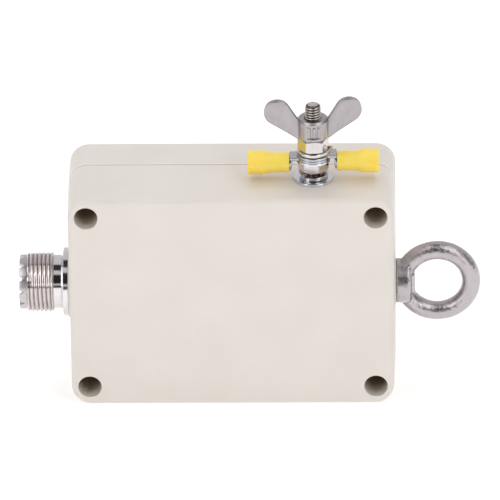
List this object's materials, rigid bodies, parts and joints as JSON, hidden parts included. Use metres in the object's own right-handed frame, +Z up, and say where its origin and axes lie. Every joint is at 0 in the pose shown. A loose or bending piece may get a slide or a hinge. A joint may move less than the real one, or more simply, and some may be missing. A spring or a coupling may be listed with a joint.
{
  "type": "antenna tuner",
  "caption": "Small plastic-cased antenna tuner with a coaxial socket, an eye bolt, and a threaded stud carrying ring terminals under a wing nut.",
  "frame": {"origin": "middle of the case's flat bottom face", "axes": "+X from the coaxial socket to the eye bolt, +Y from the deep base shell to the lid, +Z up along the antenna stud"},
  "size_m": [0.117, 0.033, 0.0805],
  "materials": {
    "case_plastic": "fine satin moulded ABS, cream",
    "gasket_rubber": "soft black silicone",
    "screw_steel": "plain zinc-plated steel",
    "socket_nickel": "bright nickel plate on brass",
    "socket_ptfe": "white PTFE",
    "contact_plate": "silver-plated brass",
    "washer_steel": "bright zinc plate",
    "tag_tin": "tinned brass",
    "eye_bolt_steel": "cast stainless steel, polished and worn",
    "stud_steel": "stainless steel thread",
    "nut_steel": "polished stainless steel",
    "wing_steel": "tumbled satin stainless steel",
    "terminal_tin": "tinned copper",
    "sleeve_vinyl": "yellow vinyl, soft sheen",
    "ferrite": "sintered ferrite, fine grey-black grain",
    "foam": "black closed-cell foam with adhesive",
    "wire_primary": "enamelled copper wire, red-brown lacquer",
    "wire_secondary": "enamelled copper wire, clear lacquer",
    "capacitor_coat": "dipped blue epoxy coat on a ceramic disc"
  },
  "bodies": {
    "case": {"base_shell": "case_plastic", "lid_gasket": "gasket_rubber", "connector_body": "socket_nickel", "connector_dielectric": "socket_ptfe", "connector_center_contact": "contact_plate", "connector_lock_washer": "washer_steel", "connector_ground_tag": "tag_tin", "connector_hex_nut": "socket_nickel", "eye_bolt": "eye_bolt_steel", "eye_bolt_washer": "washer_steel", "eye_bolt_lock_washer": "washer_steel", "eye_bolt_nut": "nut_steel", "antenna_stud": "stud_steel", "stud_inner_washer": "washer_steel", "stud_solder_lug": "tag_tin", "stud_outer_washer": "washer_steel", "lower_lock_washer": "nut_steel", "lower_nut": "nut_steel", "terminal_washer": "washer_steel", "upper_lock_washer": "nut_steel", "upper_nut": "nut_steel", "toroid_core": "ferrite", "core_mounting_pad": "foam", "primary_winding": "wire_primary", "secondary_winding": "wire_secondary", "matching_capacitor": "capacitor_coat", "capacitor_leads": "tag_tin"},
    "lid": {"lid_shell": "case_plastic"},
    "lid_screws": {"cover_screws": "screw_steel"},
    "left_terminal": {"left_terminal_ring": "terminal_tin", "left_terminal_sleeve": "sleeve_vinyl"},
    "right_terminal": {"right_terminal_ring": "terminal_tin", "right_terminal_sleeve": "sleeve_vinyl"},
    "wing": {"wing_nut": "wing_steel"}
  },
  "joints": [
    {"name": "lid_slide", "type": "slide", "parent": "case", "child": "lid", "axis": [0, 1, 0], "range_m": [0, 0.03]},
    {"name": "lid_screws_slide", "type": "slide", "parent": "case", "child": "lid_screws", "axis": [0, -1, 0], "range_m": [0, 0.032]},
    {"name": "left_terminal_swivel", "type": "hinge", "parent": "case", "child": "left_terminal", "pos_m": [0.02075, -0.0044, 0.0644], "axis": [0, 0, 1], "range_deg": [-60, 60]},
    {"name": "right_terminal_swivel", "type": "hinge", "parent": "case", "child": "right_terminal", "pos_m": [0.02075, -0.0044, 0.0651], "axis": [0, 0, 1], "range_deg": [-60, 60]},
    {"name": "wing_nut_spin", "type": "hinge", "parent": "case", "child": "wing", "pos_m": [0.02075, -0.0044, 0.0725], "axis": [0, 0, 1], "continuous": true}
  ]
}
